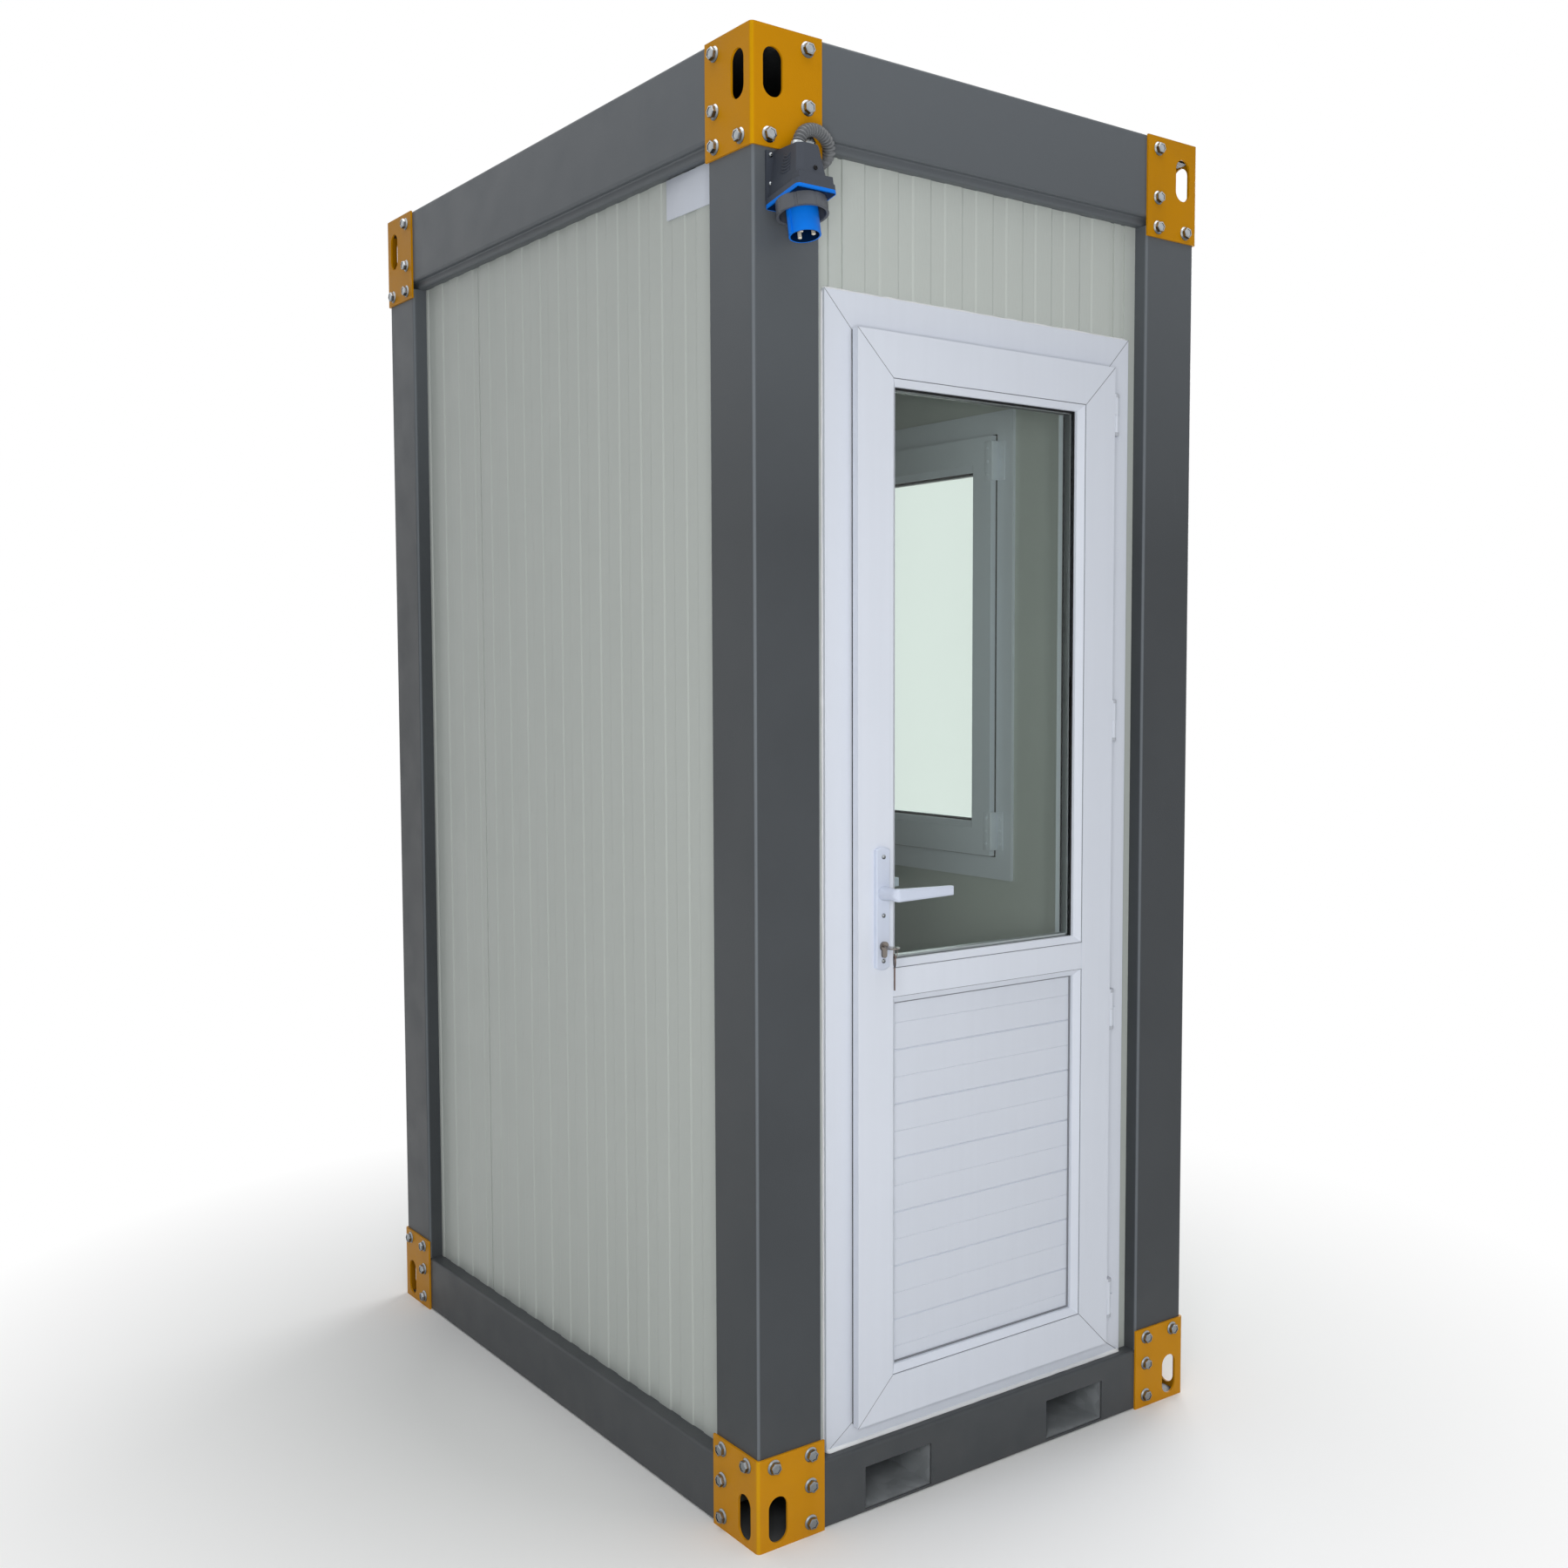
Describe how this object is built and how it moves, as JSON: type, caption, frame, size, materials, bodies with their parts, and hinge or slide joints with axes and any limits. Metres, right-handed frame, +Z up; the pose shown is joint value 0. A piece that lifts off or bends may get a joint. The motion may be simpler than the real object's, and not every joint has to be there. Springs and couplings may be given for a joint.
{
  "type": "security cabin",
  "caption": "Small guard cabin with a grey folded steel frame, yellow bolted corner plates, pale sandwich panel walls, a hinged half glazed white door, a side window and a power inlet.",
  "frame": {"origin": "on the ground, at the middle of the whole outline, with the inlet that stands out in front", "axes": "+Z up, -Y towards the door side, +X towards the window side"},
  "size_m": [1.045, 1.5942, 2.5],
  "materials": {
    "frame_grey": "satin grey paint on folded sheet steel",
    "plate_yellow": "satin yellow paint on bent plate",
    "panel_white": "pale coated sheet on sandwich panels",
    "white_profile": "white plastic profile",
    "white_board": "white plastic boards",
    "clear_glass": "clear double glazing",
    "white_metal": "white powder coat",
    "lock_steel": "nickel plated lock cylinder",
    "zinc_steel": "galvanised tube",
    "floor_board": "sealed floor board",
    "inlet_grey": "dark grey moulded plastic",
    "inlet_blue": "blue moulded plastic",
    "conduit_grey": "grey corrugated conduit"
  },
  "bodies": {
    "cabin": {"post_front_left": "frame_grey", "corner_plate_top_front_left": "plate_yellow", "corner_plate_base_front_left": "plate_yellow", "post_front_right": "frame_grey", "corner_plate_top_front_right": "plate_yellow", "corner_plate_base_front_right": "plate_yellow", "post_back_right": "frame_grey", "corner_plate_top_back_right": "plate_yellow", "corner_plate_base_back_right": "plate_yellow", "post_back_left": "frame_grey", "corner_plate_top_back_left": "plate_yellow", "corner_plate_base_back_left": "plate_yellow", "top_beam_front": "frame_grey", "base_beam_front": "frame_grey", "top_beam_right": "frame_grey", "base_beam_right": "frame_grey", "top_beam_back": "frame_grey", "base_beam_back": "frame_grey", "top_beam_left": "frame_grey", "base_beam_left": "frame_grey", "wall_left": "panel_white", "wall_right": "panel_white", "wall_back": "panel_white", "wall_front_left": "panel_white", "wall_front_right": "panel_white", "wall_over_door": "panel_white", "ceiling_panel": "panel_white", "roof_panel": "panel_white", "fork_pockets": "zinc_steel", "floor": "floor_board", "door_frame": "white_profile", "window_frame": "white_profile", "window_sash": "white_profile", "window_glass": "clear_glass", "hinges_on_frame": "white_metal", "inlet_housing": "inlet_grey", "inlet_collar": "inlet_grey", "inlet_plug": "inlet_blue", "inlet_conduit": "conduit_grey"},
    "door": {"door_sash": "white_profile", "door_glass": "clear_glass", "door_boards": "white_board", "handle_plates": "white_metal", "lock_cylinder": "lock_steel", "hinges_on_door": "white_metal"},
    "lever": {"door_lever": "white_metal"}
  },
  "joints": [
    {"name": "door_swing", "type": "hinge", "parent": "cabin", "child": "door", "pos_m": [0.3165, -0.69089, 0], "axis": [0, 0, 1], "range_deg": [0, 120]},
    {"name": "lever_turn", "type": "hinge", "parent": "door", "child": "lever", "pos_m": [-0.258, -0.67139, 1.094], "axis": [0, 1, 0], "range_deg": [0, 40], "stiffness_Nm_per_rad": 0.8, "springref_deg": -34.38}
  ]
}
